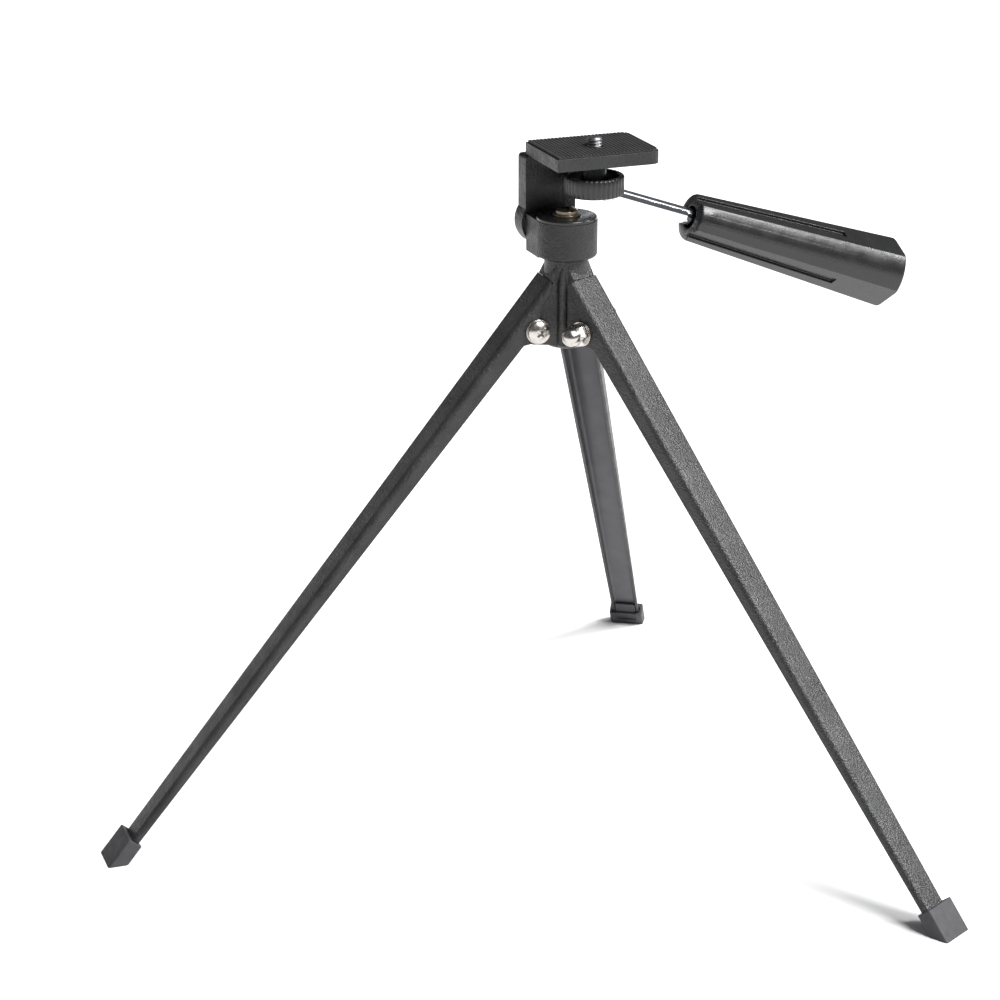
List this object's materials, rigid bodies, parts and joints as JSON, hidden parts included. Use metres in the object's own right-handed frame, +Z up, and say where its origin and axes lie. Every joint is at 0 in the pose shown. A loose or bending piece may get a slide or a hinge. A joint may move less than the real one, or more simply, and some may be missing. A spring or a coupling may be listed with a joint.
{
  "type": "table-top tripod with pan and tilt head",
  "caption": "Small black table-top tripod with folding sheet-metal legs, a pan and tilt head, a camera platform with thumbwheel screw and a handle.",
  "frame": {"origin": "on the floor, at the middle of the footprint's box, which is not on the pan axis because the handle and the legs reach unequally far", "axes": "+Z up along the pan axis; +X along the platform's long side, towards the handle; +Y across the platform, towards the arm"},
  "size_m": [0.3604, 0.3527, 0.2854],
  "materials": {
    "black_paint": "black crinkle paint, low sheen; smooth dark grey paint inside the legs",
    "cast_paint": "black crinkle paint on a zinc casting",
    "black_cap": "glossy black",
    "nickel": "bright nickel plate",
    "chrome_rod": "polished chrome",
    "steel": "bright zinc-plated steel",
    "grip_plastic": "glossy black with a fine grain",
    "wheel_plastic": "satin black",
    "grey_rubber": "smooth mid-grey rubber",
    "black_rubber": "matt black ribbed rubber",
    "fibre": "brown vulcanised fibre"
  },
  "bodies": {
    "stand": {"hub": "black_paint", "pan_thrust_washer": "fibre", "pan_cap": "black_cap", "pan_washer": "nickel", "pan_screw": "nickel", "pivot_screw_left": "nickel", "pivot_screw_right": "nickel", "pivot_screw_back": "nickel", "pivot_washers_left": "nickel", "pivot_washers_right": "nickel", "pivot_washers_back": "nickel", "domed_nut_left": "nickel", "domed_nut_right": "nickel", "domed_nut_back": "nickel"},
    "leg_left_body": {"leg_left": "black_paint", "foot_left": "grey_rubber"},
    "leg_right_body": {"leg_right": "black_paint", "foot_right": "grey_rubber"},
    "leg_back_body": {"leg_back": "black_paint", "foot_back": "grey_rubber"},
    "pan_head": {"pan_collar": "cast_paint", "tilt_friction_washer": "fibre", "tilt_washer": "nickel", "tilt_screw": "nickel"},
    "tilt_head": {"tilt_bracket": "cast_paint", "platform_pad": "black_rubber", "handle_rod": "chrome_rod", "handle_grip": "grip_plastic"},
    "screw_clip": {"retaining_ring": "steel"},
    "screw_wheel": {"camera_screw": "steel", "thumbwheel": "wheel_plastic"}
  },
  "joints": [
    {"name": "pan", "type": "hinge", "parent": "stand", "child": "pan_head", "pos_m": [0.01952, 0.00311, 0.23764], "axis": [0, 0, 1], "continuous": true},
    {"name": "tilt", "type": "hinge", "parent": "pan_head", "child": "tilt_head", "pos_m": [0.01612, 0.02086, 0.24854], "axis": [0, 1, 0], "range_deg": [-90, 24]},
    {"name": "screw_lift", "type": "slide", "parent": "tilt_head", "child": "screw_clip", "axis": [0, 0, 1], "range_m": [-0.0015, 0]},
    {"name": "screw_turn", "type": "hinge", "parent": "screw_clip", "child": "screw_wheel", "pos_m": [0.03058, 0.00151, 0.27584], "axis": [0, 0, 1], "continuous": true},
    {"name": "fold_left", "type": "hinge", "parent": "stand", "child": "leg_left_body", "pos_m": [0.00439, 0.00362, 0.20945], "axis": [-0.0333, -0.9994, 0], "range_deg": [0, 39]},
    {"name": "fold_right", "type": "hinge", "parent": "stand", "child": "leg_right_body", "pos_m": [0.02665, -0.01025, 0.20945], "axis": [0.8822, 0.4709, 0], "range_deg": [0, 39]},
    {"name": "fold_back", "type": "hinge", "parent": "stand", "child": "leg_back_body", "pos_m": [0.02752, 0.01596, 0.20945], "axis": [-0.8489, 0.5286, 0], "range_deg": [0, 39]}
  ]
}
